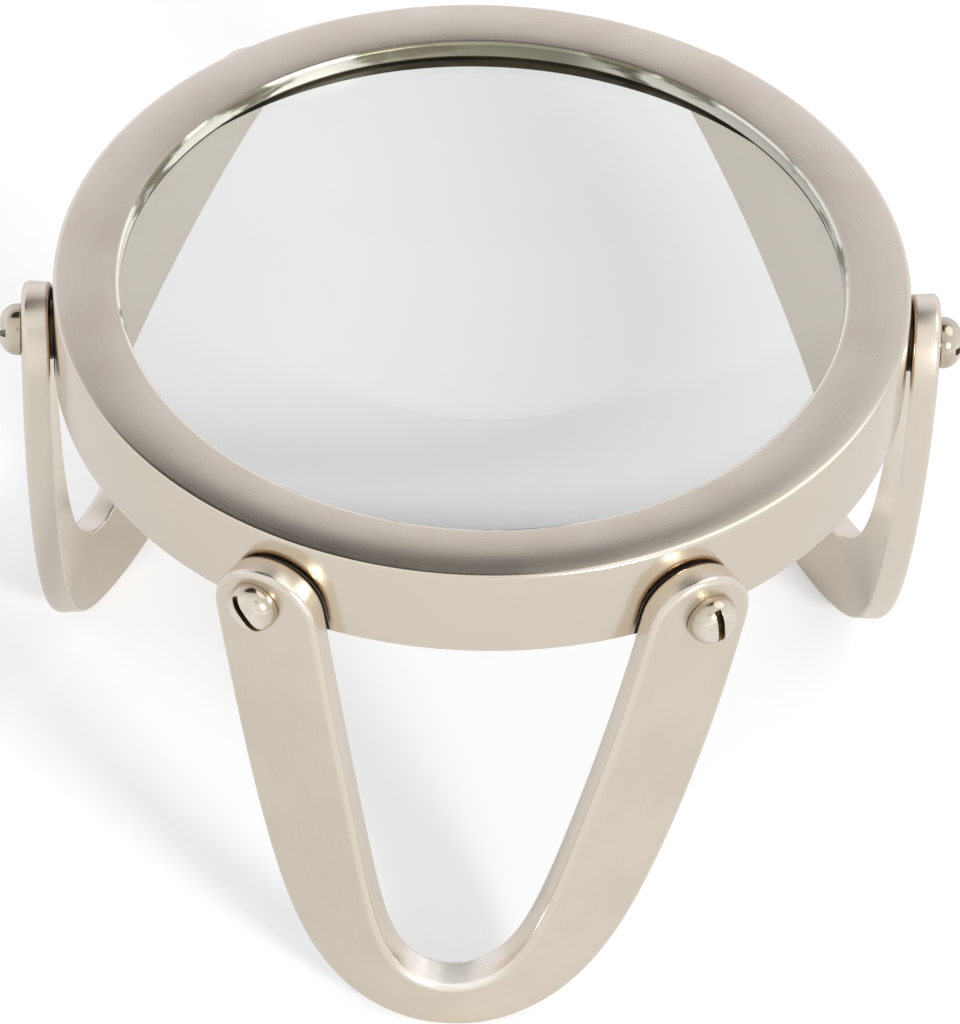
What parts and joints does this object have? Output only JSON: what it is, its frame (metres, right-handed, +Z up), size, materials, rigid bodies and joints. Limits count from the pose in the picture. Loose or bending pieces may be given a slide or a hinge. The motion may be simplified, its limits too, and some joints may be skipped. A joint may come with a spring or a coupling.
{
  "type": "desk magnifying glass",
  "caption": "Large double-convex lens in a turned metal ring, held level above the page on V-shaped legs bent from flat bar, so that it reads hands-free on a desk.",
  "frame": {"origin": "middle of the whole magnifier's footprint, on the surface that it stands on", "axes": "+Z up along the lens axis, -Y towards the front leg, +X to the right of someone facing the front leg"},
  "size_m": [0.1466, 0.1356, 0.0941],
  "materials": {
    "ring_nickel": "brushed warm nickel plate on turned brass, circular brushing on top and along the band, polished inner edge",
    "leg_nickel": "satin warm nickel plate on bent flat bar, rounded edges bright",
    "screw_nickel": "polished nickel plate",
    "washer_steel": "plain steel washer",
    "spring_steel": "dark spring steel",
    "lens_glass": "clear polished glass with a ground rim"
  },
  "bodies": {
    "root": {"frame_ring": "ring_nickel", "lens": "lens_glass", "lens_snap_ring": "spring_steel", "front_leg": "leg_nickel", "right_leg": "leg_nickel", "left_leg": "leg_nickel", "front_leg_screw_left": "screw_nickel", "front_leg_screw_right": "screw_nickel", "right_leg_screw_front": "screw_nickel", "right_leg_screw_back": "screw_nickel", "left_leg_screw_front": "screw_nickel", "left_leg_screw_back": "screw_nickel", "front_leg_washer_left": "washer_steel", "front_leg_washer_right": "washer_steel", "right_leg_washer_front": "washer_steel", "right_leg_washer_back": "washer_steel", "left_leg_washer_front": "washer_steel", "left_leg_washer_back": "washer_steel"}
  },
  "joints": []
}
